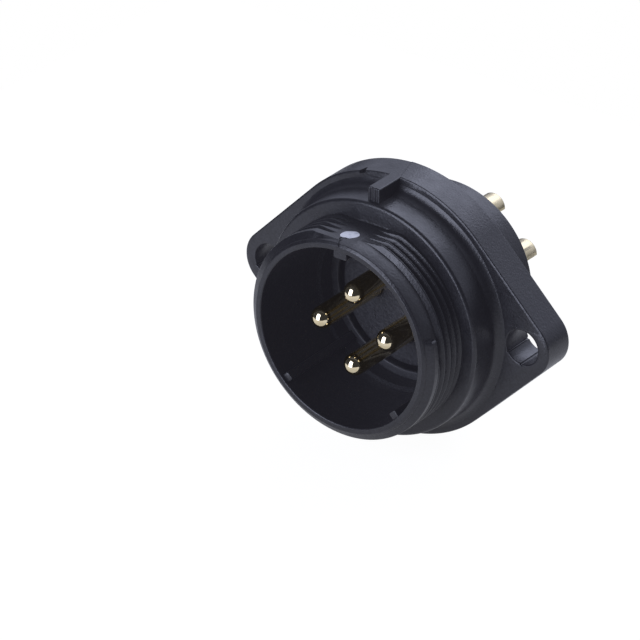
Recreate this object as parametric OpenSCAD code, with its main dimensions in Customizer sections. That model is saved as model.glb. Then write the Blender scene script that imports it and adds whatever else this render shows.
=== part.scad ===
// Panel receptacle of a circular power connector: a moulded shell with a two-hole
// flange and a threaded coupling shroud, a clamped insert and four turned contacts.
// The connector axis is the Y axis, the mating side faces -Y, the orientation tab is up
// (+Z) and the origin is on the axis at the flange's mounting face.

/* [Flange] */
// Thickness of the flange
flange_t = 3.9; // [3:0.1:5]
// Radius of the flange's round middle
flange_r = 15.2; // [14.9:0.1:17]
// Radius of the flange's two rounded ends
flange_end_r = 3.5; // [3.2:0.1:5]
// Length of the flange over its two rounded ends
flange_len = 40; // [39.6:0.1:44]
// Distance between the two mounting holes
hole_spacing = 33.3; // [32:0.1:38]
// Diameter of the mounting holes
hole_d = 4.0; // [3:0.1:4.8]
// Radius of the rounded front edge of the flange
flange_edge_r = 0.5; // [0.2:0.05:0.8]
// Width of the small arrow cut into the flange's front edge
arrow_w = 0.9; // [0.5:0.05:1.2]
// Length of the small arrow cut into the flange's front edge
arrow_len = 1.0; // [0.6:0.05:1.4]

/* [Coupling shroud] */
// Distance from the mounting face to the shroud's rim
shroud_len = 13.8; // [12.8:0.1:16]
// Major diameter of the coupling thread
thread_d = 24; // [23.6:0.1:25]
// Pitch of the coupling thread
thread_pitch = 1.0; // [0.9:0.05:1.2]
// Depth of the coupling thread
thread_depth = 0.6; // [0.4:0.05:0.7]
// Length of the thread from its start to the collar
thread_len = 4.1; // [3:0.1:4.3]
// Width of the land that leads into the thread
lead_land_w = 1.1; // [0.8:0.1:1.4]
// Diameter of the shroud's bore
bore_d = 20.6; // [20.2:0.1:21]
// Height of the index flat above the axis
index_flat_h = 11.3; // [11.1:0.05:11.6]
// Diameter of the paint-filled index dot
index_dot_d = 2.2; // [1.6:0.1:2.6]
// Depth of the index dot's pocket
index_dot_t = 0.2; // [0.1:0.05:0.3]

/* [Keys] */
// Width of the main key
main_key_w = 1.7; // [1.2:0.1:2.2]
// Height of the main key above the bore wall
main_key_h = 1.0; // [0.6:0.1:1.2]
// Width of the two small keys
small_key_w = 1.0; // [0.8:0.1:1.4]
// Height of the two small keys above the bore wall
small_key_h = 0.8; // [0.5:0.1:1.1]
// Angle from the main key to each small key
small_key_angle = 135; // [120:1:150]

/* [Collar and tab] */
// Diameter of the collar between thread and flange
collar_d = 27.2; // [26:0.1:28]
// Distance from the mounting face to the collar's front
collar_len = 8.1; // [7.4:0.1:9]
// Radius of the fillet from collar to flange
collar_fillet_r = 1.3; // [0.8:0.1:1.5]
// Radius of the collar's rounded front edge
collar_edge_r = 0.4; // [0.2:0.05:0.6]
// Width of the orientation tab
tab_w = 1.5; // [1.2:0.1:3]
// Distance from the mounting face to the tab's front
tab_len = 7.5; // [6:0.1:8]
// Width of each groove down the tab's front
tab_groove_w = 0.25; // [0.15:0.05:0.3]

/* [Rear barrel] */
// Diameter of the barrel that passes through the panel
barrel_d = 20.4; // [20:0.1:21]
// Length of the barrel behind the mounting face
barrel_len = 7.4; // [7:0.1:10]
// Wall of the barrel
barrel_wall = 0.9; // [0.7:0.05:1.1]

/* [Insert] */
// Distance from the mounting face to the seal's seat in the bore
seat_depth = 1.2; // [1:0.1:2]
// Diameter of the insert's nose
nose_d = 16.6; // [16:0.1:17]
// Distance from the mounting face to the front of the insert's nose
nose_len = 1.7; // [1.4:0.1:2.4]
// Gap round the insert's nose
nose_gap = 0.5; // [0.3:0.05:0.6]
// Distance from the mounting face back to the insert's seat
insert_seat = 1.0; // [0.8:0.1:1.4]
// Thickness of the front insulator's flange
front_flange_t = 3.0; // [2.5:0.1:3.5]
// Thickness of the rear insulator
rear_insulator_t = 2.0; // [1.5:0.1:2.2]
// Thickness of the lock ring behind the insulators
lock_ring_t = 1.2; // [0.8:0.1:1.3]
// Radial width of the lock ring
lock_ring_w = 2.0; // [1.5:0.1:2.4]
// Thickness of the flat face seal in the shroud
face_seal_t = 0.8; // [0.5:0.1:1]

/* [Contacts] */
// Diameter of the contact pins
pin_d = 2.5; // [2:0.1:3]
// Diameter of the circle that the contacts stand on
pin_circle_d = 8.6; // [8:0.1:9.4]
// Distance from the mounting face to the pin tips
pin_len = 12.0; // [11:0.1:12.5]
// Diameter of the collar that locks each contact
contact_collar_d = 3.8; // [3.4:0.1:4.2]
// Thickness of the collar that locks each contact
contact_collar_t = 1.5; // [1:0.1:2]
// Outside diameter of the solder cups
cup_d = 3.0; // [2.8:0.1:3.3]
// Wall of the solder cups
cup_wall = 0.35; // [0.25:0.05:0.5]
// Depth of the solder cups' bore
cup_depth = 4.6; // [3.5:0.1:5]
// Length over which each cup is cut open
cup_open_len = 3.2; // [2:0.1:3.6]
// Distance from the mounting face back to the cups' ends
cup_reach = 14.7; // [13.5:0.1:16]

/* [Seals] */
// Section diameter of the panel seal ring
panel_seal_d = 1.45; // [1.2:0.05:1.8]
// Mean diameter of the panel seal ring
panel_seal_mean_d = 24.8; // [24.2:0.1:25.4]
// Section diameter of the insert's seal ring
insert_seal_d = 0.96; // [0.8:0.02:1]

/* [Fits] */
// Diametral clearance of contacts in their insulators
contact_clearance = 0.04; // [0.02:0.01:0.1]
// Diametral clearance of the insert and lock ring in the barrel
insert_clearance = 0.1; // [0.04:0.02:0.2]
// Clearance round each seal ring in its groove
seal_clearance = 0.02; // [0.01:0.01:0.05]

/* [Hidden] */
$fn = 96;
overlap = 0.1;                                   // how far joined solids reach into each other
contact_count = 4;

thread_r = thread_d / 2;
root_r = thread_r - thread_depth;
bore_r = bore_d / 2;
collar_r = collar_d / 2;
barrel_r = barrel_d / 2;
barrel_bore_r = barrel_r - barrel_wall;
end_x = flange_len / 2 - flange_end_r;            // middle of each rounded end
web_r = nose_d / 2 + nose_gap;                   // opening in the web round the insert's nose
insert_r = barrel_bore_r - insert_clearance / 2;
insert_groove_r = barrel_bore_r - insert_seal_d - 2 * seal_clearance;
insert_groove_w = insert_seal_d + 2 * seal_clearance;
insert_groove_middle = insert_seat + front_flange_t / 2;
rim_edge_r = 0.25;
thread_start_clock = 76;                         // clock angle at which the land begins
land_end_clock = 352;                            // clock angle at which the land has run out
thread_first = collar_len + thread_len;          // where the first turn's crest begins
arrow_clock = -16;                               // clock angle of the arrow in the flange's edge
arrow_depth = 0.35;
key_front_gap = 0.35;                            // how far the keys stay behind the rim
index_dot_pos = shroud_len - 2.4;                // distance of the dot from the mounting face
tab_groove_depth = 0.15;
contact_collar_seat = insert_seat + front_flange_t - contact_collar_t;
rear_insulator_front = insert_seat + front_flange_t;
lock_ring_front = rear_insulator_front + rear_insulator_t;
lock_slot_w = 2.2;
lock_slot_depth = 1.0;

contact_copper = "goldenrod";
body_black = [0.13, 0.13, 0.15];
insulator_black = [0.22, 0.22, 0.24];
rubber_black = [0.08, 0.08, 0.09];

// ---- frames ----

// Turns a shape built along +Z so that it runs back along the connector's axis.
module along_axis() rotate([-90, 0, 0]) children();

// Places a shape, seen from the front, at a clock angle and a radius.
module at_clock(angle, radius) rotate([0, 0, angle]) translate([0, -radius, 0]) children();

// A tube along the axis between two distances behind the mounting face.
module tube(r_out, r_in, back_of, to) {
    translate([0, 0, back_of]) difference() {
        cylinder(r = r_out, h = to - back_of);
        translate([0, 0, -1]) cylinder(r = r_in, h = to - back_of + 2);
    }
}

// ---- flange ----

// A disc as thick as the flange with its front edge rounded.
module rounded_disc(r) {
    rotate_extrude($fn = 144) {
        translate([0, -flange_t]) square([r - flange_edge_r, flange_t]);
        translate([0, -flange_t + flange_edge_r]) square([r, flange_t - flange_edge_r]);
        translate([r - flange_edge_r, -flange_t + flange_edge_r]) circle(flange_edge_r, $fn = 20);
    }
}

// The rhombic plate: tangent planes join a large middle disc to a small disc at each end.
module flange_plate() {
    hull() {
        rounded_disc(flange_r);
        for (side = [-1, 1]) translate([side * end_x, 0, 0]) rounded_disc(flange_end_r);
    }
}

// A small arrow head sunk into the flange's edge, with its base at the front.
module edge_arrow() {
    at_clock(arrow_clock, flange_r - arrow_depth) rotate([90, 0, 0]) linear_extrude(1)
        polygon([[-arrow_w / 2, -flange_t - overlap], [arrow_w / 2, -flange_t - overlap],
                 [arrow_w / 2, -flange_t], [0, -flange_t + arrow_len],
                 [-arrow_w / 2, -flange_t]]);
}

// ---- shroud ----

// The collar with its rounded front edge and the fillet that flows into the flange.
module collar() {
    sink = collar_fillet_r * 0.05;
    rotate_extrude() difference() {
        union() {
            translate([0, -collar_len]) square([collar_r - collar_edge_r, collar_len - overlap]);
            translate([0, -collar_len + collar_edge_r])
                square([collar_r, collar_len - collar_edge_r - overlap]);
            translate([collar_r - collar_edge_r, -collar_len + collar_edge_r])
                circle(collar_edge_r, $fn = 48);
            translate([0, -flange_t - collar_fillet_r + sink])
                square([collar_r + collar_fillet_r, collar_fillet_r]);
        }
        translate([collar_r + collar_fillet_r, -flange_t - collar_fillet_r + sink])
            circle(collar_fillet_r, $fn = 64);
    }
}

// The shroud's core: a cylinder of the thread's root diameter with rounded rim edges.
module shroud_core() {
    rotate_extrude() {
        translate([0, -shroud_len]) square([root_r - rim_edge_r, shroud_len - overlap]);
        translate([0, -shroud_len + rim_edge_r]) square([root_r, shroud_len - rim_edge_r - overlap]);
        translate([root_r - rim_edge_r, -shroud_len + rim_edge_r]) circle(rim_edge_r, $fn = 48);
    }
}

// Radial section of the thread ridge as [radius, offset along the axis] pairs.
function ridge_section(height) = [
    [root_r - overlap, -thread_pitch * 0.44],
    [root_r + height, -thread_pitch * 0.12],
    [root_r + height, thread_pitch * 0.12],
    [root_r - overlap, thread_pitch * 0.44]];

// One right-hand ridge: the section is carried round the axis and back by one pitch a turn.
// The ridge grows out of the root at its start and runs into the collar at its end.
module thread_ridge() {
    steps_per_turn = 48;
    steps = ceil(steps_per_turn * (thread_len / thread_pitch + 0.5));
    ramp = 3;
    rings = [for (i = [0:steps])
        let (grow = min(1, i / ramp),
             turn = thread_start_clock + 3 + i * 360 / steps_per_turn,
             back = -thread_first + thread_pitch * i / steps_per_turn)
        [for (p = ridge_section(thread_depth * grow - overlap / 2 * (1 - grow)))
            [p[0] * sin(turn), -p[0] * cos(turn), back + p[1]]]];
    points = [for (ring = rings) for (p = ring) p];
    sides = [for (i = [0:steps - 1]) for (k = [0:3])
        let (a = 4 * i + k, b = 4 * i + (k + 1) % 4)
        each [[a, b + 4, a + 4], [a, b, b + 4]]];
    polyhedron(points, concat([[3, 2, 1, 0]], sides, [[for (k = [0:3]) 4 * steps + k]]),
               convexity = 10);
}

// The land in front of the first turn: a full-height arc with a bevelled front edge.
module lead_land() {
    bevel = thread_depth * 0.6;
    land_r = thread_r - 0.05;
    front = thread_first + lead_land_w;
    rotate([0, 0, thread_start_clock - 90])
        rotate_extrude(angle = land_end_clock - thread_start_clock)
            polygon([[root_r - overlap, -front - overlap], [land_r, -front + bevel],
                     [land_r, -thread_first], [root_r - overlap, -thread_first]]);
}

// A key along the bore wall, between the rim and the seal's seat.
module key(angle, width, height) {
    from = -shroud_len + key_front_gap;
    rotate([0, 0, angle]) translate([-width / 2, -bore_r - overlap, from])
        cube([width, height + overlap, -seat_depth + overlap - from]);
}

// The tab that stands on the flange's front against the collar, flush with the flange's edge.
module tab() {
    foot = collar_r - 0.5;
    difference() {
        intersection() {
            translate([-tab_w / 2, -flange_r - 1, -tab_len])
                cube([tab_w, flange_r + 1 - foot, tab_len - flange_t / 2]);
            translate([0, 0, -tab_len - 1]) cylinder(r = flange_r - 0.02, h = tab_len + 1);
        }
        for (side = [-1, 1])
            translate([side * tab_w / 5 - tab_groove_w / 2, -flange_r - 1, -tab_len - 1])
                cube([tab_groove_w, flange_r, 1 + tab_groove_depth]);
    }
}

// ---- moulded shell ----

module shell_outside() {
    flange_plate();
    collar();
    difference() {
        union() {
            shroud_core();
            lead_land();
            thread_ridge();
        }
        translate([-thread_r, -thread_r - 1, -shroud_len - 1])
            cube([thread_d, thread_r + 1 - index_flat_h, shroud_len + 1 - collar_len]);
    }
    tab();
    cylinder(r = barrel_r, h = barrel_len);
}

// Everything that is cored out of the shell.
module shell_hollows() {
    edge_arrow();
    translate([0, 0, -shroud_len - 1]) cylinder(r = bore_r, h = shroud_len + 1 - seat_depth);
    translate([0, 0, -shroud_len]) cylinder(r = web_r, h = shroud_len + insert_seat);
    translate([0, 0, insert_seat]) cylinder(r = barrel_bore_r, h = barrel_len + 1);
    for (side = [-1, 1]) translate([side * hole_spacing / 2, 0, -flange_t - 1])
        cylinder(r = hole_d / 2, h = flange_t + 2);
    tube(panel_seal_mean_d / 2 + panel_seal_d / 2 + 4 * seal_clearance,
         panel_seal_mean_d / 2 - panel_seal_d / 2 - 4 * seal_clearance,
         -panel_seal_d - 2 * seal_clearance, 1);
    translate([0, -index_flat_h + index_dot_t, -index_dot_pos]) rotate([90, 0, 0])
        cylinder(r = index_dot_d / 2, h = 1);
}

module shell() {
    color(body_black) along_axis() {
        difference() {
            shell_outside();
            shell_hollows();
        }
        key(0, main_key_w, main_key_h);
        for (side = [-1, 1]) key(side * small_key_angle, small_key_w, small_key_h);
    }
}

// The white paint that fills the index dot's pocket.
module index_dot() {
    color("white") along_axis()
        translate([0, -index_flat_h + index_dot_t, -index_dot_pos]) rotate([90, 0, 0])
            cylinder(r = index_dot_d / 2, h = index_dot_t);
}

// ---- seals ----

// The flat rubber ring on the seat at the bottom of the shroud, with rounded edges.
module face_seal() {
    edge = 0.2;
    outer = bore_r - 5 * seal_clearance;
    notch_w = main_key_w + 10 * seal_clearance;
    color(rubber_black) along_axis() difference() {
        rotate_extrude() translate([0, -seat_depth - face_seal_t]) {
            translate([web_r, edge]) square([outer - web_r, face_seal_t - edge]);
            translate([web_r + edge, 0]) square([outer - web_r - 2 * edge, face_seal_t]);
            for (r = [web_r + edge, outer - edge]) translate([r, edge]) circle(edge, $fn = 32);
        }
        for (k = [[0, main_key_w, main_key_h], [small_key_angle, small_key_w, small_key_h],
                  [-small_key_angle, small_key_w, small_key_h]])
            rotate([0, 0, k[0]])
                translate([-k[1] / 2 - 5 * seal_clearance, -bore_r - 1, -shroud_len])
                    cube([k[1] + 10 * seal_clearance, 1 + k[2] + 5 * seal_clearance, shroud_len]);
    }
}

// A rubber ring of round section.
module seal_ring(mean_d, section_d, middle) {
    color(rubber_black) along_axis() translate([0, 0, middle])
        rotate_extrude() translate([mean_d / 2, 0]) circle(section_d / 2, $fn = 48);
}

// The ring in the groove round the insert, which seals it in the barrel.
module insert_seal() {
    seal_ring(2 * (barrel_bore_r - seal_clearance) - insert_seal_d, insert_seal_d,
              insert_groove_middle);
}

// The ring in the flange's rear groove, which seals it on the panel.
module panel_seal() {
    seal_ring(panel_seal_mean_d, panel_seal_d, -panel_seal_d / 2 - seal_clearance);
}

// ---- insert ----

// Cuts a round seat for every contact.
module contact_seats(d, from, to) {
    for (k = [0:contact_count - 1]) rotate([0, 0, 360 / contact_count * k])
        translate([0, -pin_circle_d / 2, from]) cylinder(r = d / 2, h = to - from);
}

// The front insulator: its nose fills the web's opening, its flange seats behind the web and
// carries the groove of the insert's seal.
module front_insulator() {
    color(insulator_black) along_axis() difference() {
        rotate_extrude() polygon([
            [0, -nose_len], [nose_d / 2, -nose_len],
            [nose_d / 2, insert_seat], [insert_r, insert_seat],
            [insert_r, insert_groove_middle - insert_groove_w / 2],
            [insert_groove_r, insert_groove_middle - insert_groove_w / 2],
            [insert_groove_r, insert_groove_middle + insert_groove_w / 2],
            [insert_r, insert_groove_middle + insert_groove_w / 2],
            [insert_r, rear_insulator_front], [0, rear_insulator_front]]);
        contact_seats(pin_d + contact_clearance, -nose_len - 1, rear_insulator_front + 1);
        contact_seats(contact_collar_d + contact_clearance, contact_collar_seat,
                      rear_insulator_front + 1);
    }
}

// The rear insulator, which holds the contacts' collars in the front one.
module rear_insulator() {
    color(insulator_black) along_axis() difference() {
        translate([0, 0, rear_insulator_front]) cylinder(r = insert_r, h = rear_insulator_t);
        contact_seats(cup_d + contact_clearance, rear_insulator_front - 1, lock_ring_front + 1);
    }
}

// The ring that screws into the barrel and clamps the insert, with four spanner slots.
module lock_ring() {
    color(body_black) along_axis() difference() {
        tube(insert_r, insert_r - lock_ring_w, lock_ring_front, lock_ring_front + lock_ring_t);
        for (angle = [0, 90]) rotate([0, 0, angle + 45])
            translate([-insert_r - 1, -lock_slot_w / 2,
                       lock_ring_front + lock_ring_t - min(lock_slot_depth, lock_ring_t / 2)])
                cube([2 * insert_r + 2, lock_slot_w, lock_slot_depth + 1]);
    }
}

// ---- contacts ----

// A turned contact: round-tipped pin, locking collar and a solder cup cut open below.
module contact(number) {
    cup_r = cup_d / 2;
    cup_edge = cup_wall / 2;
    color(contact_copper) along_axis() at_clock(360 / contact_count * (number - 1), pin_circle_d / 2)
        difference() {
            union() {
                translate([0, 0, -pin_len + pin_d / 2]) sphere(r = pin_d / 2);
                translate([0, 0, -pin_len + pin_d / 2])
                    cylinder(r = pin_d / 2, h = pin_len - pin_d / 2 + contact_collar_seat + 0.5);
                translate([0, 0, contact_collar_seat])
                    cylinder(r = contact_collar_d / 2, h = contact_collar_t);
                translate([0, 0, contact_collar_seat + contact_collar_t - 0.5])
                    cylinder(r = cup_r, h = cup_reach - rear_insulator_front + 0.5 - cup_edge);
                translate([0, 0, cup_reach - cup_edge])
                    cylinder(r1 = cup_r, r2 = cup_r - cup_edge, h = cup_edge);
            }
            translate([0, 0, cup_reach - cup_depth])
                cylinder(r = cup_r - cup_wall, h = cup_depth + 1);
            rotate([0, 0, -360 / contact_count * (number - 1)])
                translate([-cup_r - 1, 0, cup_reach - cup_open_len])
                    cube([cup_d + 2, cup_r + 1, cup_open_len + 1]);
        }
}

shell();
face_seal();
front_insulator();
insert_seal();
rear_insulator();
lock_ring();
contact(1);  // contact_1
contact(2);  // contact_2
contact(3);  // contact_3
contact(4);  // contact_4
panel_seal();
index_dot();
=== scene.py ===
# %% [markdown]
# A panel receptacle of a circular power connector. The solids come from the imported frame
# with their real sizes. This lesson dresses them: it measures the frame, builds finer
# surfaces over the solids where an edge or a thread needs them, and gives every piece its
# finish. Lengths are written in millimetres and turned into metres as the meshes are made.

import math

import bmesh
import bpy
import numpy as np
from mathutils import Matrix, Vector
from mathutils.geometry import tessellate_polygon

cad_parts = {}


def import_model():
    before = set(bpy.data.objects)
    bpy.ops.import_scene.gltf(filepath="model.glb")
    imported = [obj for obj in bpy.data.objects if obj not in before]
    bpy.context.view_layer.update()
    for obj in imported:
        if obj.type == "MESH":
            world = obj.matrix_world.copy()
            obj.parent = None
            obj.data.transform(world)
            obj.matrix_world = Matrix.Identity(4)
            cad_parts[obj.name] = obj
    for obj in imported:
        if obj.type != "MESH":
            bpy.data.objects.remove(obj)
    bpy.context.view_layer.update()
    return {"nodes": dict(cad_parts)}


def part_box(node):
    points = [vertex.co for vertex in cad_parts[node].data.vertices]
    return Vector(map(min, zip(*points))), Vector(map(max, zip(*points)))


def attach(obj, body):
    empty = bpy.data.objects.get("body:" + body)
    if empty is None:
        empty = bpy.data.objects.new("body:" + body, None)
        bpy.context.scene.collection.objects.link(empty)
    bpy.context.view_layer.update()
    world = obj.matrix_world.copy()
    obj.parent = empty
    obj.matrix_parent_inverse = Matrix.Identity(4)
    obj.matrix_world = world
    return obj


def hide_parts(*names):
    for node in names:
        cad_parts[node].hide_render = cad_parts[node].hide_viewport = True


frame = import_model()
MM = 0.001
print("nodes:", sorted(frame["nodes"]))

# %% [markdown]
# The camera comes first. It stands half a metre away to the right of the mating side and well
# above it, with a long lens, so that the round shroud is hardly distorted. It leans a third of
# a degree to one side.

# %% Camera
CAMERA_AT = Vector((257.73, -356.70, 230.80)) * MM
LOOK_AT = Vector((-7.25, -7.36, -2.79)) * MM
LENS = 260.4
ROLL = math.radians(-0.33)

camera_data = bpy.data.cameras.new("camera")
camera_data.lens = LENS
camera_data.sensor_width = 36
camera_data.clip_start = 0.01
camera_data.clip_end = 20
camera = bpy.data.objects.new("camera", camera_data)
camera.location = CAMERA_AT
camera.rotation_euler = (LOOK_AT - CAMERA_AT).to_track_quat("-Z", "Y").to_euler()
camera.rotation_euler.rotate_axis("Z", ROLL)
bpy.context.scene.collection.objects.link(camera)
bpy.context.scene.camera = camera
print("camera distance in mm:", round((LOOK_AT - CAMERA_AT).length / MM, 1))

# %% [markdown]
# ## Finishes
# Every finish is a small node tree. The first helpers start a material and do sums on
# numbers, vectors and colours, where each input is either a constant or another node's
# socket.

# %% Helpers for node trees
def new_material(name, colour, roughness, metallic=0.0):
    """Starts a material and returns it with its node tree and its main shader."""
    material = bpy.data.materials.new(name)
    material.use_nodes = True
    shader = material.node_tree.nodes["Principled BSDF"]
    shader.inputs["Base Color"].default_value = (*colour, 1)
    shader.inputs["Roughness"].default_value = roughness
    shader.inputs["Metallic"].default_value = metallic
    material.diffuse_color = (*colour, 1)
    return material, material.node_tree, shader


def fill(tree, sockets, values):
    """Fills sockets in turn, each from a constant or from another socket."""
    for socket, value in zip(sockets, values):
        if isinstance(value, (int, float, tuple)):
            socket.default_value = value
        else:
            tree.links.new(value, socket)


def maths(tree, operation, *values):
    """One sum on numbers."""
    node = tree.nodes.new("ShaderNodeMath")
    node.operation = operation
    fill(tree, node.inputs, values)
    return node.outputs[0]


def vector(tree, operation, first, second):
    """One sum on two vectors. A product of lengths or a distance comes out as a number."""
    node = tree.nodes.new("ShaderNodeVectorMath")
    node.operation = operation
    fill(tree, node.inputs, (first, second))
    return node.outputs["Value" if operation in ("DOT_PRODUCT", "DISTANCE") else "Vector"]


def blend(tree, share, below, over):
    """Colour that goes from below to over as share goes from 0 to 1."""
    mix = tree.nodes.new("ShaderNodeMix")
    mix.data_type = "RGBA"
    fill(tree, [mix.inputs[name] for name in ("Factor", "A", "B")], (share, below, over))
    return mix.outputs["Result"]


# %% [markdown]
# A real finish is never even, so most values come from a pattern. The next helpers add a
# noise pattern at a size given in millimetres and turn it into a range of values, a range
# of colours or a bump of a given height. Patterns read Object coordinates, which stay with
# the piece.

# %% Helpers for patterns
def noise(tree, size_mm, detail=2.0, stretch=(1, 1, 1)):
    """Noise whose grains are about size_mm across, longer where stretch is low."""
    place = tree.nodes.new("ShaderNodeTexCoord")
    mapping = tree.nodes.new("ShaderNodeMapping")
    grain = tree.nodes.new("ShaderNodeTexNoise")
    fill(tree, [mapping.inputs["Scale"], mapping.inputs["Vector"]],
         (stretch, place.outputs["Object"]))
    fill(tree, [grain.inputs[name] for name in ("Scale", "Detail", "Vector")],
         (1 / (size_mm * MM), detail, mapping.outputs["Vector"]))
    return grain.outputs["Fac"]


def spread(tree, pattern, low, high, span=(0.3, 0.7)):
    """Maps a pattern's values, from span's low end to its high end, to low and high."""
    ranged = tree.nodes.new("ShaderNodeMapRange")
    names = ("Value", "From Min", "From Max", "To Min", "To Max")
    fill(tree, [ranged.inputs[name] for name in names], (pattern, *span, low, high))
    return ranged.outputs["Result"]


def ramp(tree, value, stops):
    """Colour that runs through (position, colour) stops as value rises."""
    node = tree.nodes.new("ShaderNodeValToRGB")
    elements = node.color_ramp.elements
    for k, (position, colour) in enumerate(stops):
        stop = elements[k] if k < 2 else elements.new(position)
        stop.position = position
        stop.color = (*colour, 1)
    tree.links.new(value, node.inputs["Fac"])
    return node.outputs["Color"]


def tint(tree, pattern, low, high, span=(0.35, 0.65)):
    """Mixes two colours by a pattern."""
    return ramp(tree, pattern, zip(span, (low, high)))


def bump(tree, pattern, height_mm, below=None):
    """Turns a pattern into a bump of height_mm, on top of another bump if one is given."""
    node = tree.nodes.new("ShaderNodeBump")
    node.inputs["Distance"].default_value = height_mm * MM
    tree.links.new(pattern, node.inputs["Height"])
    if below is not None:
        tree.links.new(below, node.inputs["Normal"])
    return node.outputs["Normal"]


def dress(tree, shader, colour, roughness, height):
    """Gives the main shader its colour, its roughness and its bump."""
    names = ("Base Color", "Roughness", "Normal")
    fill(tree, [shader.inputs[name] for name in names], (colour, roughness, height))


# %% [markdown]
# A moulding also carries marks: a scored line, a pip. Each is sunk by a bump and painted
# near-black, which is painted shade in the dent. A mark is a mask that is 1 on the mark
# and 0 away from it, made from the distance to a line or a point of the piece.

# %% Helpers for marks
def mark(tree, start, end, half_width):
    """Mask of the line from start to end, in mm: with t = (p - a).(b - a) / |b - a|^2 held
    between 0 and 1, it is 1 where p lies on a + t (b - a) and 0 from half_width on."""
    a, b = Vector(start) * MM, Vector(end) * MM
    along = (b - a) / max((b - a).length_squared, 1e-12)
    place = tree.nodes.new("ShaderNodeTexCoord").outputs["Object"]
    offset = vector(tree, "SUBTRACT", place, tuple(a))
    share = tree.nodes.new("ShaderNodeClamp")
    tree.links.new(vector(tree, "DOT_PRODUCT", offset, tuple(along)), share.inputs["Value"])
    step = vector(tree, "MULTIPLY", tuple(b - a), share.outputs["Result"])
    distance = vector(tree, "DISTANCE", offset, step)
    return spread(tree, distance, 1.0, 0.0, span=(0, half_width * MM))


def strongest(tree, masks):
    """The largest of several masks."""
    result = masks[0]
    for other in masks[1:]:
        result = maths(tree, "MAXIMUM", result, other)
    return result


# %% [markdown]
# The shell is moulded nylon filled with glass fibre. Such a moulding is nearly black with a
# blue cast, its gloss is soft and a little cloudy, and its skin shows fine fibre grain over
# a faint unevenness. Two bumps of very different size and a cloudy roughness give that. A
# trace of glow on the plastics and the rubber keeps their darkest hollows dark grey, where
# they would otherwise be pure black.

# %% Moulded nylon
# Near-black of the marks: painted shade in the dents that the bump sinks.
PAINTED_SHADE_BLACK = (0.002, 0.002, 0.002, 1)
MARK_DEPTH = 0.12


def skin_glow(shader, strength):
    """A trace of bluish glow, which keeps the darkest hollows dark grey."""
    shader.inputs["Emission Color"].default_value = (0.95, 0.92, 1.25, 1)
    shader.inputs["Emission Strength"].default_value = strength


def moulded_nylon(name, low, high, rough, grain_mm, grain_height, marks=()):
    """Black moulded plastic: cloudy colour and gloss, fine grain over a faint waviness."""
    material, tree, shader = new_material(name, low, rough)
    cloud = noise(tree, 1.6, detail=4)
    grain = noise(tree, grain_mm, detail=3)
    wave = noise(tree, 2.4, detail=1)
    colour = tint(tree, grain, low, high)
    height = bump(tree, wave, 0.02)
    height = bump(tree, grain, grain_height, below=height)
    if marks:
        mask = strongest(tree, [mark(tree, *each) for each in marks])
        # Painted shade: the colour goes near-black inside the marks, which the bump below sinks.
        colour = blend(tree, mask, colour, PAINTED_SHADE_BLACK)
        height = bump(tree, mask, -MARK_DEPTH, below=height)
    dress(tree, shader, colour, spread(tree, cloud, rough - 0.05, rough + 0.06), height)
    skin_glow(shader, 0.0092)
    return material


# The score runs from the rim up over the flat, and the pip sits beside the first turn; both
# are sunk and painted near-black, as painted shade in their dents.
SCORE = [(0.14, -13.85, 10.95), (-0.02, -13.66, 11.18), (-0.38, -13.05, 11.29),
         (-0.53, -12.5, 11.3), (-0.29, -12.22, 11.3), (0.08, -12.29, 11.3)]
PIP = (3.93, -10.97, 11.02)
SHELL_MARKS = [(a, b, 0.12) for a, b in zip(SCORE, SCORE[1:])] + [(PIP, PIP, 0.3)]
NYLON = moulded_nylon("moulded_nylon", (0.005, 0.005, 0.006), (0.012, 0.012, 0.014), 0.32,
                      0.25, 0.026, SHELL_MARKS)
INSULATOR = moulded_nylon("insulator_plastic", (0.012, 0.012, 0.014), (0.030, 0.030, 0.033),
                          0.50, 0.30, 0.055)
print("plastics:", NYLON.name, INSULATOR.name)

# %% [markdown]
# The contacts are turned brass with gold plating. A turned surface keeps very fine rings
# round its axis, so the pattern is squeezed along the axis and drawn out across it. The
# solder cups are plated too but less bright, so their finish is paler and rougher.

# %% Gold plating
def gold_plate(name, low, high, rough, ring_height):
    """Plated metal with fine turning rings across the Y axis."""
    material, tree, shader = new_material(name, high, rough, metallic=1.0)
    rings = noise(tree, 0.5, detail=3, stretch=(0.3, 12, 0.3))
    cloud = noise(tree, 0.9, detail=3)
    dress(tree, shader, tint(tree, cloud, low, high),
          spread(tree, cloud, rough - 0.03, rough + 0.05), bump(tree, rings, ring_height))
    return material


GOLD = gold_plate("gold_pin", (0.88, 0.74, 0.46), (0.95, 0.83, 0.57), 0.08, 0.0010)
GOLD_CUP = gold_plate("gold_cup", (0.58, 0.50, 0.31), (0.66, 0.57, 0.37), 0.33, 0.003)
print("plating:", GOLD.name, GOLD_CUP.name)

# %% [markdown]
# The seals are black rubber: dull, slightly greyer than the shell and dusted with bloom.
# The index dot is thick white paint that has settled unevenly in its pocket.

# %% Rubber and paint
def rubber():
    """Dull black rubber with a grey bloom."""
    material, tree, shader = new_material("seal_rubber", (0.02, 0.02, 0.021), 0.6)
    bloom = noise(tree, 0.7, detail=4)
    grain = noise(tree, 0.12)
    colour = tint(tree, bloom, (0.013, 0.013, 0.015), (0.026, 0.026, 0.029))
    dress(tree, shader, colour, spread(tree, bloom, 0.45, 0.62), bump(tree, grain, 0.006))
    skin_glow(shader, 0.0075)
    return material


def white_paint():
    """Thick white paint with a slightly uneven surface and grey where it is thin."""
    material, tree, shader = new_material("dot_paint", (0.86, 0.87, 0.9), 0.42)
    pool = noise(tree, 0.6, detail=3)
    colour = tint(tree, pool, (0.66, 0.68, 0.72), (0.90, 0.91, 0.93), span=(0.3, 0.5))
    dress(tree, shader, colour, spread(tree, pool, 0.35, 0.5), bump(tree, pool, 0.03))
    return material


RUBBER = rubber()
PAINT = white_paint()
print("rubber and paint:", RUBBER.name, PAINT.name)

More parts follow.
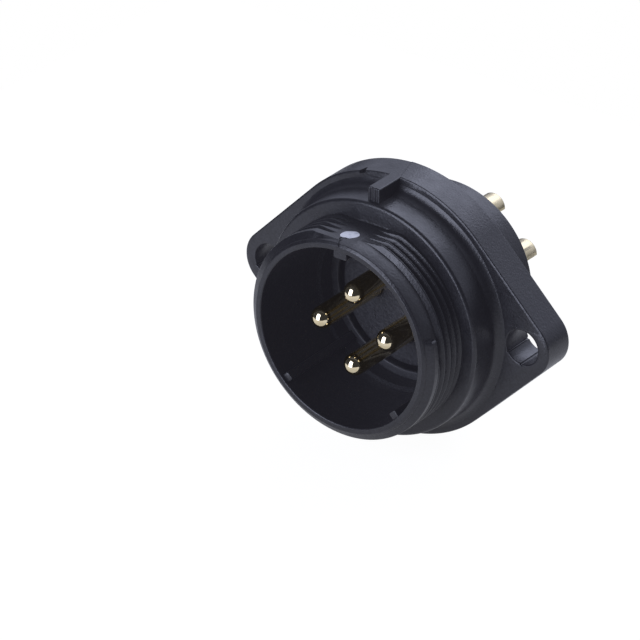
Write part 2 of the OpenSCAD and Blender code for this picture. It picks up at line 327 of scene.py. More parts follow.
# %% [markdown]
# ## Surfaces
# A piece is one mesh made of closed skins. Most skins are a grid: its rows and columns
# follow the shape, and it is closed round the section and, for a ring, round the axis too.
# A skin is kept as an array of points and a list of face arrays, one for each number of
# corners, so several skins are joined by adding up their points.

# %% Grids and skins
def grid_faces(rows, columns, closed=False):
    """Four-sided faces between neighbours (i, j), (i+1, j), (i+1, j+1), (i, j+1)."""
    i = np.arange(rows if closed else rows - 1)[:, None]
    j = np.arange(columns)[None, :]
    below, beside = (i + 1) % rows, (j + 1) % columns
    corners = (i * columns + j, below * columns + j, below * columns + beside,
               i * columns + beside)
    return np.stack(corners, axis=-1).reshape(-1, 4)


def skin(points, closed=False, capped=False):
    """Skin over a grid of points (rows, columns, 3). Its columns close on themselves.
    closed joins the last row to the first; capped fills both end rows with a face."""
    rows, columns = points.shape[:2]
    faces = [grid_faces(rows, columns, closed)]
    if capped:
        first = np.arange(columns)[None, :]
        faces += [first, first + (rows - 1) * columns]
    return points, faces


def joined(skins):
    """One skin from several: each one's corner numbers move up by the points before it."""
    points = [np.asarray(each, float).reshape(-1, 3) for each, _ in skins]
    starts = np.cumsum([0] + [len(each) for each in points])
    faces = [part + start for (_, parts), start in zip(skins, starts) for part in parts]
    return np.concatenate(points), faces


print("faces of a tube of 3 rows and 8 columns:", len(grid_faces(3, 8)))

# %% [markdown]
# A finished piece is smooth, with its real corners kept sharp, and its faces point outwards
# after doubled points are merged. It is tied to the one body there is.

# %% Pieces
SHARP_ANGLE = math.radians(40)
SAME_POINT = 0.0005 * MM
NO_LENGTH = 0.0002 * MM


def piece(name, skins, material, bodies="root"):
    """Joins skins into one object with a material."""
    points, faces = joined(skins)
    mesh = bpy.data.meshes.new(name)
    mesh.from_pydata((points * MM).tolist(), [], sum((part.tolist() for part in faces), []))
    made = bmesh.new()
    made.from_mesh(mesh)
    bmesh.ops.remove_doubles(made, verts=made.verts, dist=SAME_POINT)
    bmesh.ops.dissolve_degenerate(made, edges=made.edges, dist=NO_LENGTH)
    bmesh.ops.recalc_face_normals(made, faces=made.faces)
    made.to_mesh(mesh)
    made.free()
    mesh.materials.append(material)
    mesh.shade_smooth()
    mesh.set_sharp_from_angle(angle=SHARP_ANGLE)
    obj = bpy.data.objects.new(name, mesh)
    bpy.context.scene.collection.objects.link(obj)
    weighted = obj.modifiers.new("even_normals", "WEIGHTED_NORMAL")
    weighted.keep_sharp = True
    weighted.weight = 100
    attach(obj, bodies)
    print(f"{name}: {len(mesh.vertices)} points, {len(mesh.polygons)} faces")
    return obj


# %% [markdown]
# No moulded or turned edge is perfectly sharp, and it is the thin highlight on a rounded
# edge that makes a piece look real. So sections are written as corners with a radius, and
# one helper replaces every corner by an arc.

# %% Rounded sections
def rounded(corners, steps=6):
    """Closed line through (u, v, radius) corners, each replaced by a tangent arc.

    At a corner turned by angle t the arc starts radius * tan(t / 2) before it, its centre
    lies at right angles to the incoming line, and its points turn evenly through t.
    """
    line = []
    count = len(corners)
    for k in range(count):
        before, here, after = (np.array(corners[(k + d) % count][:2], float)
                               for d in (-1, 0, 1))
        radius = corners[k][2]
        into = (here - before) / np.linalg.norm(here - before)
        out = (after - here) / np.linalg.norm(after - here)
        turn = math.atan2(into[0] * out[1] - into[1] * out[0], into @ out)
        if radius == 0 or abs(turn) < 1e-6:
            line.append(here[None, :])
            continue
        side = math.copysign(1, turn)
        first = here - into * radius * math.tan(abs(turn) / 2)
        centre = first + side * radius * np.array([-into[1], into[0]])
        angle = np.linspace(0, turn, steps + 1)
        arm = first - centre
        line.append(centre + np.stack([arm[0] * np.cos(angle) - arm[1] * np.sin(angle),
                                       arm[0] * np.sin(angle) + arm[1] * np.cos(angle)],
                                      axis=1))
    return np.concatenate(line)


def on_axis(radius, clock, back, centre=(0, 0)):
    """Point at a radius and a clock angle in degrees round an axis, clockwise from the top
    as seen from the mating side: x = radius * sin(clock), z = radius * cos(clock)."""
    clock = np.radians(clock)
    return np.stack(np.broadcast_arrays(centre[0] + radius * np.sin(clock), back,
                                        centre[1] + radius * np.cos(clock)), axis=-1)


def ring(section, steps=288):
    """Carries a closed (radius, back) section round the axis."""
    clock = np.linspace(0, 360, steps, endpoint=False)[:, None]
    return on_axis(section[None, :, 0], clock, section[None, :, 1])


print("a rounded square has", len(rounded([(x, y, 1) for x, y in
                                           ((0, 0), (4, 0), (4, 4), (0, 4))])), "points")

# %% [markdown]
# ## The shell
# Its sizes are measured from the frame where the frame can tell them, and named here.

# %% Sizes of the shell
low, high = (np.array(corner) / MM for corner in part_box("shell"))
RIM = low[1]                       # front plane of the shroud
BARREL_END = high[1]
FLANGE_R = high[2]                 # middle arc of the flange
FLANGE_T = 3.9
END_R = 3.5
END_X = high[0] - END_R
HOLE_X = 33.3 / 2
HOLE_R = 2.0
ROOT_R = 11.4
CREST_R = 12.0
BORE_R = 10.3
COLLAR_R = 13.6
COLLAR_FRONT = -8.1
FILLET_R = 1.3
BARREL_R = 10.2
BARREL_BORE_R = 9.3
WEB_R = 8.8
SEAT = -1.2                        # where the flat seal lies
INSERT_SEAT = 1.0                  # where the insert lies, behind the web
FLAT_Z = 11.3
PITCH = 1.0
THREAD_FIRST = -12.2               # where the first crest starts
KEYS = ((0, 1.7, 1.0), (225, 1.0, 0.8), (135, 1.0, 0.8))    # clock angle, width, height
INSIDE = -2.5                      # depth in the plate where hidden ends meet
print("shell from", round(RIM, 2), "to", round(BARREL_END, 2), "end at", round(END_X, 2))

# %% [markdown]
# The body of the shell is a turned form: shroud, collar, web and barrel are one section
# carried round the axis. The index flat is then pressed into it: every point of the shroud
# that stands above the flat's height is lowered to it, which is what a milled flat does.

# %% Body of the shell
def index_flat(points, lower=0.0):
    """Lowers points in front of the collar to z = FLAT_Z where they stand above it. Skins
    that meet on the flat are lowered by slightly different amounts, so none flickers."""
    flat = np.array(points, float)
    ahead = flat[..., 1] < COLLAR_FRONT - 0.02
    outside = np.hypot(flat[..., 0], flat[..., 2]) > BORE_R + 0.3
    flat[..., 2] = np.where(ahead & outside, np.minimum(flat[..., 2], FLAT_Z - lower),
                            flat[..., 2])
    return flat


def shell_body():
    """Closed ring with the shroud's, collar's, web's and barrel's section. The fillet is an
    arc about a point FILLET_R outside the collar, sunk a little into the plate so that it
    runs out in it: a circle of radius r sunk by s meets the plane at sqrt(r^2 - (r - s)^2)."""
    sink = FILLET_R * 0.05
    meet = COLLAR_R + FILLET_R - math.sqrt(FILLET_R ** 2 - (FILLET_R - sink) ** 2)
    arc = np.linspace(math.pi, math.pi / 2 + math.acos((FILLET_R - sink) / FILLET_R), 12)
    fillet = np.stack([COLLAR_R + FILLET_R + FILLET_R * np.cos(arc),
                       -FLANGE_T - FILLET_R + sink + FILLET_R * np.sin(arc)], axis=1)
    front = rounded([(WEB_R, INSERT_SEAT, 0.0), (WEB_R, SEAT, 0.1), (BORE_R, SEAT, 0.12),
                     (BORE_R, RIM, 0.17), (ROOT_R - 0.50, RIM, 0.12),
                     (ROOT_R - 0.20, RIM + 0.20, 0.12), (ROOT_R, THREAD_FIRST, 0.0),
                     (ROOT_R, COLLAR_FRONT, 0.1),
                     (COLLAR_R, COLLAR_FRONT, 0.4), (COLLAR_R, -FLANGE_T - FILLET_R, 0.0),
                     (COLLAR_R - 1, -FLANGE_T, 0.0)])[:-1]
    rear = rounded([(meet, INSIDE, 0.0), (BARREL_R, INSIDE, 0.0),
                    (BARREL_R, BARREL_END, 0.25), (BARREL_BORE_R, BARREL_END, 0.2),
                    (BARREL_BORE_R, INSERT_SEAT, 0.0)])
    section = np.concatenate([front[:-1], fillet, rear])
    return skin(index_flat(ring(section)), closed=True)


body_skin = shell_body()
print("body section carried round the axis:", body_skin[0].shape)

# %% [markdown]
# The flange is a rhombic plate. Its outline is four arcs joined by straight tangents, so a
# point of it is a centre plus a radius along the outward direction, and moving the outline
# inwards only shortens the radius. Rows of such outlines make the rounded edge, and the
# flat faces between outline, holes and seal groove are filled by triangulation.

# %% Outlines and edges
def rhombus(inset):
    """Outline of the flange moved inwards by inset, as (x, z) points: arcs of FLANGE_R
    about the axis and of END_R about the two ends, joined where they share a tangent. The
    points lie closer near the top, where the edge carries its arrow and its step."""
    tangent = math.acos((FLANGE_R - END_R) / END_X)
    fine = np.radians(np.concatenate([np.linspace(84, 94, 60), np.linspace(104, 108, 70)]))
    top = np.unique(np.concatenate([np.linspace(tangent, math.pi - tangent, 72), fine]))
    arcs = [((END_X, 0), END_R, np.linspace(-tangent, tangent, 48)),
            ((0, 0), FLANGE_R, top),
            ((-END_X, 0), END_R, np.linspace(math.pi - tangent, math.pi + tangent, 48)),
            ((0, 0), FLANGE_R, np.linspace(math.pi + tangent, 2 * math.pi - tangent, 72))]
    parts = [np.stack([centre[0] + (radius - inset) * np.cos(angle),
                       centre[1] + (radius - inset) * np.sin(angle)], axis=1)
             for centre, radius, angle in arcs]
    return np.concatenate(parts)


def circle(radius, steps, centre=(0, 0)):
    """Circle in the flange's plane as (x, z) points."""
    angle = np.linspace(0, 2 * math.pi, steps, endpoint=False)
    return np.stack([centre[0] + radius * np.cos(angle),
                     centre[1] + radius * np.sin(angle)], axis=1)


def wall(outline, rows):
    """Skin over a stack of outlines: for each (inset, back) row, outline(inset) gives the
    (x, z) points and back their place along Y."""
    return skin(np.array([np.insert(outline(inset), 1, back, axis=1) for inset, back in rows]))


def round_wall(rows, steps, centre=(0, 0)):
    """Stepped round wall about an axis, from rows of (radius, back)."""
    return wall(lambda radius: circle(radius, steps, centre), rows)


def filled(loops, back):
    """Flat face at y = back between an outer loop and the holes in it."""
    flat = [[Vector((x, z, 0)) for x, z in loop] for loop in loops]
    points = np.insert(np.concatenate(loops), 1, back, axis=1)
    return points, [np.array(tessellate_polygon(flat))]


def edge_rows(radius, front, back, rear_radius, between=0, slope=0.0):
    """Rows from a rounded front edge down to a smaller rounded rear edge. With a slope, the
    face first falls back by 24 degrees over that width, and the rounding begins there."""
    lean = math.radians(24) if slope else 0.0
    turn = np.linspace(lean, math.pi / 2, 7)
    fall = front + slope * math.tan(lean)
    ahead = np.stack([radius * (1 - np.sin(turn)),
                      fall + radius * (math.cos(lean) - np.cos(turn))], 1)
    if slope:
        ahead = np.concatenate([[[slope + ahead[0, 0], front]], ahead])
    turn = np.linspace(0, math.pi / 2, 7)
    behind = np.stack([rear_radius * (1 - np.cos(turn)),
                       back - rear_radius * (1 - np.sin(turn))], 1)
    straight = np.linspace(ahead[-1, 1], back - rear_radius, between + 2)[1:-1]
    return np.concatenate([ahead, np.stack([0 * straight, straight], 1), behind])


print("points round the flange:", len(rhombus(0)))

# %% [markdown]
# The edge of the plate carries two marks of the mould: a small arrow left of the top, and a
# step of a twentieth of a millimetre beside the tab, where the two halves of the mould met.
# Each mounting hole has two fine lines down its wall.

# %% Flange
ARROW_CLOCK, ARROW_HALF, ARROW_LEN, ARROW_DEPTH = -16, 0.45, 1.0, 0.35
STEP_X, STEP_LEAN, STEP_HEIGHT = 0.75, 0.32, 0.05
TOP_ARC = 44                       # clock angle just inside the middle arc's end


def edge_marks(points):
    """The arrow sunk into the edge, narrower the further it lies from the front face, and
    the step, whose line leans and whose height fades out over the arc."""
    x, y, z = (points[..., k] for k in range(3))
    reach, clock = np.hypot(x, z), np.degrees(np.arctan2(x, z))
    behind = y + FLANGE_T
    along = FLANGE_R * np.radians(clock - ARROW_CLOCK)
    arrow = (np.abs(along) < ARROW_HALF * (1 - behind / ARROW_LEN)) & (z > 0)
    radius = np.where(arrow, np.minimum(reach, FLANGE_R - ARROW_DEPTH), reach)
    step = (x > STEP_X - STEP_LEAN * behind) & (z > 0) & (behind > 0.02) & (y < -0.02)
    fade = np.clip((40 - clock) / 25, 0, 1)
    radius = np.where(step & (reach < FLANGE_R + 0.01), radius + STEP_HEIGHT * fade, radius)
    scale = np.where(np.abs(clock) < TOP_ARC, radius / reach, 1)
    return np.stack([x * scale, y, z * scale], axis=-1)


def hole_outline(side, inset):
    """Mounting hole with two fine score lines down its wall, as (x, z) points."""
    angle = np.linspace(0, 2 * math.pi, 240, endpoint=False)
    radius = np.full(240, HOLE_R - inset)
    for line in (-150, -93):
        off = (np.degrees(angle) - line + 180) % 360 - 180
        radius += 0.16 * np.clip(1 - (off / 4.5) ** 2, 0, 1)
    return np.stack([side * HOLE_X + radius * np.cos(angle), radius * np.sin(angle)], axis=1)


def flange():
    """Plate with rounded edges, two through holes and the groove of the panel seal."""
    hidden_r, groove_in, groove_out, groove_y = 9.75, 11.6, 13.2, -1.49
    rear_edge, hole_edge = 0.12, 0.14
    edge = edge_rows(0.12, -FLANGE_T, 0, rear_edge, 30, slope=0.2)
    hole_rows = edge_rows(hole_edge, -FLANGE_T, 0, hole_edge) * [-1, 1]
    outside, outside_faces = wall(rhombus, edge)
    skins = [(edge_marks(outside), outside_faces)]
    skins += [wall(lambda inset, s=side: hole_outline(s, inset), hole_rows)
              for side in (-1, 1)]
    mouths = [hole_outline(side, -hole_edge) for side in (-1, 1)]
    skins += [filled([rhombus(edge[0, 0]), *mouths, circle(hidden_r, 144)], -FLANGE_T),
              filled([rhombus(rear_edge), *mouths, circle(groove_out, 144)], 0),
              filled([circle(groove_in, 144), circle(hidden_r, 144)], 0),
              filled([circle(groove_out, 144), circle(groove_in, 144)], groove_y)]
    skins += [round_wall([(radius, start), (radius, 0)], 144)
              for radius, start in ((groove_in, groove_y), (groove_out, groove_y),
                                    (hidden_r, -FLANGE_T))]
    return joined(skins)


flange_skin = flange()
print("flange:", len(flange_skin[0]), "points")

# %% [markdown]
# The coupling thread is one ridge wound round the shroud. Its section is carried along a
# helix: each degree of turn moves it back by 1/360 of the pitch. It starts at the side
# behind a wide land, whose front edge guides the nut, and it ends inside the collar. On the
# index flat the ridge is cut down like the body.

# %% Thread and lead-in land
THREAD_START = 76                  # clock angle where the land and the first turn begin
THREAD_TURNS = 4.62
LAND_END = 359
LAND_WIDTH = 1.1


def thread_ridge():
    """Ridge section (across, height) moved back by PITCH * turn / 360 as it turns, and cut
    down where it would stand above the index flat. Its feet lie 0.12 under the root."""
    flank = np.stack([np.linspace(0.47, 0.13, 12), np.linspace(-0.12, 0.50, 12)], axis=1)
    half = np.concatenate([flank, [(0.095, 0.565), (0.05, 0.595), (0.0, 0.60)]]) * [PITCH, 1]
    section = np.concatenate([half * [-1, 1], half[-2::-1]])
    turn = np.arange(0, 360 * THREAD_TURNS, 2.0)[:, None]
    grow = np.clip(turn / 14, 0, 1)
    height = (section[None, :, 1] + 0.12) * grow - 0.12
    back = THREAD_FIRST + PITCH * turn / 360 + section[None, :, 0]
    points = on_axis(ROOT_R + height, THREAD_START + 2 + turn, back)
    return skin(index_flat(points, lower=0.006), capped=True)


def lead_land():
    """Arc of full height in front of the first turn; its height runs out at its start."""
    front = THREAD_FIRST - LAND_WIDTH
    top, foot = CREST_R - 0.05, ROOT_R - 0.3
    section = rounded([(foot, front - 0.2, 0), (top, front + 0.36, 0.15),
                       (top, THREAD_FIRST, 0.1), (foot, THREAD_FIRST, 0)])
    clock = np.concatenate([[THREAD_START - 0.6, THREAD_START, THREAD_START + 0.7],
                            np.linspace(THREAD_START + 2, LAND_END, 280)])
    limit = np.full((len(clock), 1), CREST_R)
    limit[:2, 0] = ROOT_R - 0.02, CREST_R - 0.16
    radius = np.minimum(section[None, :, 0], limit)
    points = on_axis(radius, clock[:, None], section[None, :, 1])
    return skin(index_flat(points, lower=0.004), capped=True)


ridge_skin, land_skin = thread_ridge(), lead_land()
print("ridge rows:", len(ridge_skin[0]), "land rows:", len(land_skin[0]))

# %% [markdown]
# Three keys run along the bore and stop a plug going in the wrong way round. Each is a bar
# whose corners and front end are rounded. The tab on the flange is made the same way, with
# two shallow grooves down its front, and ends flush with the flange's edge.

# %% Keys and tab
def key(clock, width, height):
    """Key of the bore, rooted in the wall: a closed (across, outward) section carried along
    Y, whose front rows shrink towards its middle so that the front edge is rounded."""
    half, root, top, edge = width / 2, BORE_R + 0.35, BORE_R - height, 0.12
    section = rounded([(-half, root, 0), (half, root, 0), (half, top, 0.18),
                       (-half, top, 0.18)], 4)
    middle = section.mean(axis=0)
    turn = np.linspace(0, math.pi / 2, 5)
    shrink = np.concatenate([edge * (1 - np.sin(turn)), [0]])[:, None]
    back = np.concatenate([RIM + 0.35 + edge * (1 - np.cos(turn)), [SEAT + 0.1]])[:, None]
    scale = 1 - shrink / np.abs(section - middle).max()
    across, outward = (middle[k] + (section[:, k] - middle[k]) * scale for k in (0, 1))
    c, s = math.cos(math.radians(clock)), math.sin(math.radians(clock))
    return skin(np.stack([across * c + outward * s, back + 0 * across,
                          outward * c - across * s], axis=-1), capped=True)


def tab():
    """Tab against the collar: a block up to the flange's edge with a grooved front. Its
    section lies in the (across, back) plane and rises; its top rows pull in for the edge."""
    half, front, groove, depth, edge = 0.75, -7.5, 0.13, 0.1, 0.16
    cuts = [(x + d * groove, front + (depth if inner else 0), 0.05)
            for x in (-0.3, 0.3) for d, inner in ((-1, 0), (-1, 1), (1, 1), (1, 0))]
    section = rounded([(-half, front, 0.1), *cuts, (half, front, 0.1), (half, -2, 0),
                       (-half, -2, 0)], 3)
    turn = np.linspace(0, math.pi / 2, 6)
    rise = np.concatenate([[COLLAR_R - 0.6], FLANGE_R - edge + edge * np.sin(turn)])[:, None]
    shrink = np.concatenate([[0], edge * (1 - np.cos(turn))])[:, None]
    middle = section.mean(axis=0)
    scale = 1 - shrink / np.abs(section - middle).max(axis=0)[0]
    across = middle[0] + (section[:, 0] - middle[0]) * scale
    back = section[:, 1] + np.where(section[:, 1] < INSIDE, shrink, 0)
    return skin(np.stack([across, back, rise + 0 * across], axis=-1), capped=True)


shell = piece("moulded_shell", [body_skin, flange_skin, ridge_skin, land_skin,
                                *[key(*each) for each in KEYS], tab()], NYLON)
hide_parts("shell")

# %% [markdown]
# ## Seals and insert
# The flat seal lies on the seat round the insert's nose. Its edges are rounded, and it is
# notched where the keys pass: near a key its outer radius steps in.

# %% Face seal
def face_seal():
    """Ring with a rounded rectangular section; its outer points step in at the keys."""
    inner, outer, front = WEB_R, BORE_R - 0.1, SEAT - 0.8
    section = rounded([(inner, SEAT, 0), (inner, front, 0.22), (outer, front, 0.22),
                       (outer, SEAT, 0)], 5)
    clock = np.arange(0, 360)[:, None]
    radius = np.repeat(section[None, :, 0], len(clock), axis=0)
    on_outside = radius > (inner + outer) / 2
    for at, width, height in KEYS:
        near = np.abs((clock - at + 180) % 360 - 180) < math.degrees(width / 2 + 0.1) / BORE_R
        limit = BORE_R - height - 0.1
        radius = np.where(near & on_outside, np.minimum(radius, limit), radius)
    return skin(on_axis(radius, clock, section[None, :, 1]), closed=True)


seal = piece("face_seal_ring", [face_seal()], RUBBER)
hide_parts("face_seal")

# %% [markdown]
# The insert is a moulded disc. Its nose stands in the web's opening with a rounded edge,
# and each pin comes out of a hole whose edge is broken. The face is textured, so the finish
# has a stronger grain than the shell.

# %% Front insulator
PIN_CIRCLE_R = 4.3
PIN_R = 1.25
CONTACT_CENTRES = on_axis(PIN_CIRCLE_R, np.arange(0, 360, 90), 0)[:, [0, 2]]
NOSE_R, NOSE_FRONT, INSERT_R, INSERT_BACK = 8.3, -1.7, 9.25, 4.0


def front_insulator():
    """Stepped disc with four through holes, as walls and filled flat faces."""
    hole_r, seat_r, seat_y, edge, broken = PIN_R + 0.02, 1.92, 2.5, 0.22, 0.12
    groove_r, groove = 8.3, (2.0, 3.0)
    turn = np.linspace(0, math.pi / 2, 6)
    nose = np.stack([NOSE_R - edge * (1 - np.sin(turn)),
                     NOSE_FRONT + edge * (1 - np.cos(turn))], axis=1)
    mouths = [circle(hole_r + broken, 48, centre) for centre in CONTACT_CENTRES]
    seats = [circle(seat_r, 48, centre) for centre in CONTACT_CENTRES]
    skins = [round_wall([*nose, (NOSE_R, INSERT_SEAT)], 160),
             round_wall([(INSERT_R, INSERT_SEAT), (INSERT_R, groove[0]), (groove_r, groove[0]),
                         (groove_r, groove[1]), (INSERT_R, groove[1]),
                         (INSERT_R, INSERT_BACK)], 160),
             filled([circle(INSERT_R, 160), circle(NOSE_R, 160)], INSERT_SEAT),
             filled([circle(NOSE_R - edge, 160), *mouths], NOSE_FRONT),
             filled([circle(INSERT_R, 160), *seats], INSERT_BACK)]
    skins += [round_wall([(hole_r + broken, NOSE_FRONT), (hole_r, NOSE_FRONT + broken),
                          (hole_r, seat_y), (seat_r, seat_y), (seat_r, INSERT_BACK)], 48, centre)
              for centre in CONTACT_CENTRES]
    return joined(skins)


insert = piece("insert_disc", [front_insulator()], INSULATOR)
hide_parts("front_insulator")

# %% [markdown]
# Plain numbers beside the contacts tell the fitter which is which. They are raised a
# twentieth of a millimetre, as moulded numbers are. Each is a text turned into a mesh.

# %% Contact numbers
NUMBER_R, NUMBER_SIZE = 5.61, 1.75


def raised_number(label, x, z, size):
    """Flat text of a height, given depth, stood upright on the insert's face."""
    words = bpy.data.curves.new("number", "FONT")
    words.body = label
    words.size = size * MM
    words.extrude = 0.035 * MM
    words.align_x = words.align_y = "CENTER"
    holder = bpy.data.objects.new("number", words)
    bpy.context.scene.collection.objects.link(holder)
    bpy.context.view_layer.update()
    mesh = bpy.data.meshes.new_from_object(holder)
    bpy.data.objects.remove(holder)
    flat = np.empty(len(mesh.vertices) * 3)
    mesh.vertices.foreach_get("co", flat)
    across, up, out = flat.reshape(-1, 3).T / MM
    mesh.calc_loop_triangles()
    corners = np.empty(len(mesh.loop_triangles) * 3, dtype=np.int32)
    mesh.loop_triangles.foreach_get("vertices", corners)
    bpy.data.meshes.remove(mesh)
    points = np.stack([across + x, NOSE_FRONT - 0.02 - out, up + z], axis=-1)
    return points, [corners.reshape(-1, 3)]


def raised_ring(x, z, radius, width, height):
    """Small ring on the insert's face, the trace of the mould's ejector pin."""
    turn = np.linspace(0, 2 * math.pi, 48, endpoint=False)[:, None]
    around = np.linspace(0, 2 * math.pi, 8, endpoint=False)[None, :]
    reach = radius + width * np.cos(around)
    return skin(np.stack([x + reach * np.cos(turn),
                          NOSE_FRONT + height * np.sin(around) + 0 * turn,
                          z + reach * np.sin(turn)], axis=-1), closed=True)


number_skins = [raised_number(str(k + 1), x, z, NUMBER_SIZE) for k, (x, _, z)
                in enumerate(on_axis(NUMBER_R, 50.3 + np.arange(0, 360, 90), 0))]
number_skins.append(raised_ring(-4.2, -5.5, 0.42, 0.06, 0.04))
piece("contact_numbers", number_skins, INSULATOR)

# %% [markdown]
# ## Contacts
# A contact is turned from bar, so one profile carried round its own axis gives the round
# tip, the pin, the collar and the shank. Behind that the solder cup is cut open on its
# lower side, and what is left there is a half shell: a half ring carried along the axis.

# %% Contacts
PIN_TIP = -12.0
COLLAR_IN, COLLAR_OUT, CONTACT_COLLAR_R = 2.5, 4.0, 1.9
CUP_R, CUP_BORE_R, CUP_OPEN, CUP_END, CUP_BOTTOM = 1.5, 1.15, 11.5, 14.7, 10.1
HALF = 33                          # points over the half round of the open cup
CUP_FROM = 6.0                     # from here on the plating is dull


def turned_part(centre):
    """Profile of (radius, back) carried round the contact's axis, from the tip, a quarter
    circle, to the bottom of the cup's bore."""
    tip = np.linspace(0, math.pi / 2, 14)
    tip = np.stack([PIN_R * np.sin(tip), PIN_TIP + PIN_R * (1 - np.cos(tip))], axis=1)
    profile = np.concatenate([tip, [
        (PIN_R, COLLAR_IN), (CONTACT_COLLAR_R - 0.1, COLLAR_IN),
        (CONTACT_COLLAR_R, COLLAR_IN + 0.1), (CONTACT_COLLAR_R, COLLAR_OUT),
        (CUP_R, COLLAR_OUT), (CUP_R, CUP_OPEN), (CUP_BORE_R, CUP_OPEN),
        (CUP_BORE_R, CUP_BOTTOM), (0.0, CUP_BOTTOM + 0.25)]])
    clock = np.linspace(0, 360, 64, endpoint=False)[None, :]
    return skin(on_axis(profile[:, :1], clock, profile[:, 1:], centre))


def open_cup(centre):
    """Half shell over the top: out along the outer radius, back along the bore's, with a
    rounded end, and a strip of faces across the wall at its start and its end."""
    thick = (CUP_R - CUP_BORE_R) / 2
    turn = np.linspace(0, math.pi / 2, 5)
    inset = np.concatenate([[0], thick * (1 - np.cos(turn))])[:, None]
    back = np.concatenate([[CUP_OPEN], CUP_END - thick + thick * np.sin(turn)])[:, None]
    radius = np.concatenate([np.repeat(CUP_R - inset, HALF, axis=1),
                             np.repeat(CUP_BORE_R + inset, HALF, axis=1)], axis=1)
    clock = np.linspace(-90, 90, HALF)
    points, faces = skin(on_axis(radius, np.concatenate([clock, clock[::-1]]), back, centre))
    k = np.arange(HALF - 1)
    strip = np.stack([k, k + 1, 2 * HALF - 2 - k, 2 * HALF - 1 - k], axis=1)
    return points, [*faces, strip, strip + 2 * HALF * (len(back) - 1)]


for number, centre in enumerate(CONTACT_CENTRES, start=1):
    made = piece(f"plated_contact_{number}", [turned_part(centre), open_cup(centre)], GOLD)
    made.data.materials.append(GOLD_CUP)
    centres = np.empty(len(made.data.polygons) * 3)
    made.data.polygons.foreach_get("center", centres)
    rear = centres.reshape(-1, 3)[:, 1] > CUP_FROM * MM
    made.data.polygons.foreach_set("material_index", rear.astype(np.int32))
    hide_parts(f"contact_{number}")

# %% [markdown]
# The index dot is a drop of paint: a shallow dome with a slightly wavering edge.

# %% Index dot
DOT_X, DOT_Y, DOT_R, DOT_HEIGHT, POCKET_DEPTH = -0.12, -11.4, 0.93, 0.035, 0.18


def paint_dot():
    """Dome whose radius r(angle) is that of an oval with small waves and a dent where the
    paint stopped at the score line; it is lowest at its edge. A flat bottom closes it."""
    share = np.linspace(0, 1, 12)[:, None]
    angle = np.linspace(0, 2 * math.pi, 72, endpoint=False)[None, :]
    long_way = math.radians(48)
    from_dent = (angle - math.radians(184) + math.pi) % (2 * math.pi) - math.pi
    reach = DOT_R + 0.11 * np.cos(2 * (angle - long_way)) - 0.05 * np.cos(angle - long_way) \
        + 0.02 * np.sin(5 * angle + 1) - 0.13 * np.exp(-(from_dent / 0.3) ** 2)
    share = np.concatenate([share, [[1], [0]]])
    rise = DOT_HEIGHT * np.sqrt(np.clip(1 - share ** 4, 0, 1)) - 0.004
    rise[-2:] = -POCKET_DEPTH
    points = np.stack([DOT_X + share * reach * np.sin(angle),
                       DOT_Y + share * reach * np.cos(angle),
                       FLAT_Z + rise + 0 * angle], axis=-1)
    return skin(points)


dot = piece("index_paint", [paint_dot()], PAINT)
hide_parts("index_dot")

# %% [markdown]
# The pieces that the panel hides keep their solids, which are already right, and only get
# their finish.

# %% Finishes of the solids that stay
for name, material in (("insert_seal", RUBBER), ("panel_seal", RUBBER),
                       ("rear_insulator", INSULATOR), ("lock_ring", NYLON)):
    solid = frame["nodes"][name]
    solid.data.materials.clear()
    solid.data.materials.append(material)
    print(name, "has", material.name)

# %% [markdown]
# ## Studio
# The part stands over a small pale table in a white room. One broad soft lamp stands behind
# and above it and draws the highlights along the flange, the collar and the cups. A tall one
# in front, a little to the left, lights the flanks of the thread and the round pin tips. The
# world is bright behind and dim in front, because a black moulding shows mostly what it
# mirrors. A table any larger would wash out the faces that look down and forwards.

# %% Floor
FLOOR_Z = low[2] - 0.1
TABLE_SIDE, TABLE_FRONT, TABLE_REAR = 90, -68, 75
TABLE_GLOW = 1.10
GLOW_SHARE, CAMERA_SHARE = 0.30, 0.58    # for every ray, and what the camera's rays add


def floor():
    """Pale table top under the part, whose front edge is near the part. It glows a little,
    and more to the camera, so that it melts into the white behind it and keeps a shadow."""
    mesh = bpy.data.meshes.new("floor")
    corners = np.array([(-TABLE_SIDE, TABLE_FRONT, FLOOR_Z), (TABLE_SIDE, TABLE_FRONT, FLOOR_Z),
                        (TABLE_SIDE, TABLE_REAR, FLOOR_Z), (-TABLE_SIDE, TABLE_REAR, FLOOR_Z)])
    mesh.from_pydata((corners * MM).tolist(), [], [(0, 1, 2, 3)])
    material, tree, shader = new_material("floor_white", (0.86, 0.86, 0.86), 0.9)
    glow = tree.nodes.new("ShaderNodeEmission")
    glow.inputs["Color"].default_value = (1, 1, 1, 1)
    glow.inputs["Strength"].default_value = TABLE_GLOW
    path = tree.nodes.new("ShaderNodeLightPath")
    share = maths(tree, "MULTIPLY_ADD", path.outputs["Is Camera Ray"], CAMERA_SHARE,
                  GLOW_SHARE)
    mix = tree.nodes.new("ShaderNodeMixShader")
    fill(tree, mix.inputs, (share, shader.outputs["BSDF"], glow.outputs["Emission"]))
    tree.links.new(mix.outputs["Shader"], tree.nodes["Material Output"].inputs["Surface"])
    mesh.materials.append(material)
    obj = bpy.data.objects.new("floor", mesh)
    bpy.context.scene.collection.objects.link(obj)


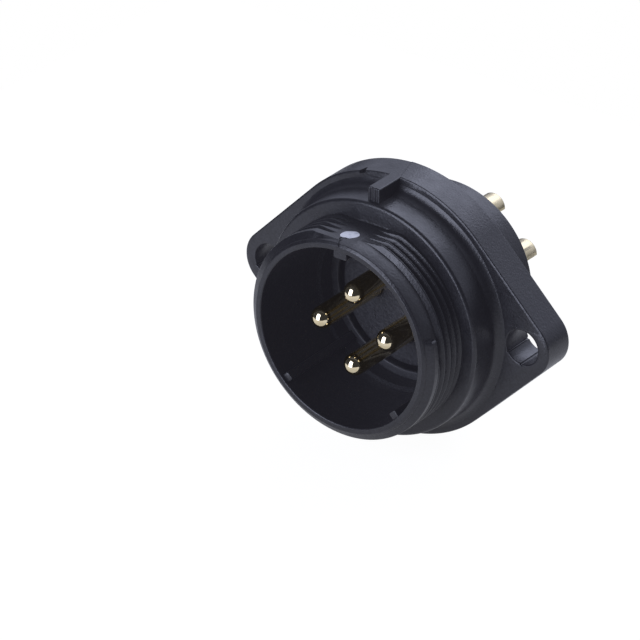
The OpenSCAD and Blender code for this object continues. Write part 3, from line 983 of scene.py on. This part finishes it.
floor()
print("floor at", round(FLOOR_Z, 2), "mm")

# %% [markdown]
# The world's brightness follows one number: how far a direction points back and up. Below
# the horizon that number drops quickly, so everything under the table's level is dark.

# %% World and lamps
SKY = (0.87, 0.92, 1.16)           # the lamps' cool tint
BACK_AND_UP = (-0.02, 0.9, 0.42)
SKY_LEVELS = ((0.0, 0.04), (0.3, 0.18), (0.6, 0.38), (0.9, 0.95))
BELOW_HORIZON = 6.0


def world():
    """White to the camera. For every other ray: dim in front of the part and below the
    table, bright behind it."""
    scene_world = bpy.data.worlds.new("studio")
    bpy.context.scene.world = scene_world
    scene_world.use_nodes = True
    tree = scene_world.node_tree
    way = tree.nodes.new("ShaderNodeTexCoord").outputs["Generated"]
    parts = tree.nodes.new("ShaderNodeSeparateXYZ")
    tree.links.new(way, parts.inputs[0])
    below = maths(tree, "MINIMUM", parts.outputs["Z"], 0.0)
    back = vector(tree, "DOT_PRODUCT", way, BACK_AND_UP)
    level = maths(tree, "MULTIPLY_ADD", below, BELOW_HORIZON, back)
    light = ramp(tree, level, [(at, [share * c for c in SKY]) for at, share in SKY_LEVELS])
    path = tree.nodes.new("ShaderNodeLightPath")
    seen = blend(tree, path.outputs["Is Camera Ray"], light, (1, 1, 1, 1))
    tree.links.new(seen, tree.nodes["Background"].inputs["Color"])


def soft_lamp(name, at, size, power):
    """Rectangular lamp of size (width, height) in metres, aimed at the part."""
    data = bpy.data.lights.new(name, "AREA")
    data.shape = "RECTANGLE"
    data.size, data.size_y = size
    data.energy = power
    data.color = SKY
    obj = bpy.data.objects.new(name, data)
    obj.location = at
    obj.rotation_euler = (-Vector(at)).to_track_quat("-Z", "Y").to_euler()
    bpy.context.scene.collection.objects.link(obj)


world()
soft_lamp("lamp_behind", (-0.04, 0.58, 0.51), (0.6, 0.44), 1.5)
soft_lamp("lamp_front", (-0.19, -0.85, 0.21), (0.52, 0.90), 7.4)
bpy.context.scene.view_settings.view_transform = "Standard"
print("world and", len(bpy.data.lights), "lamps")
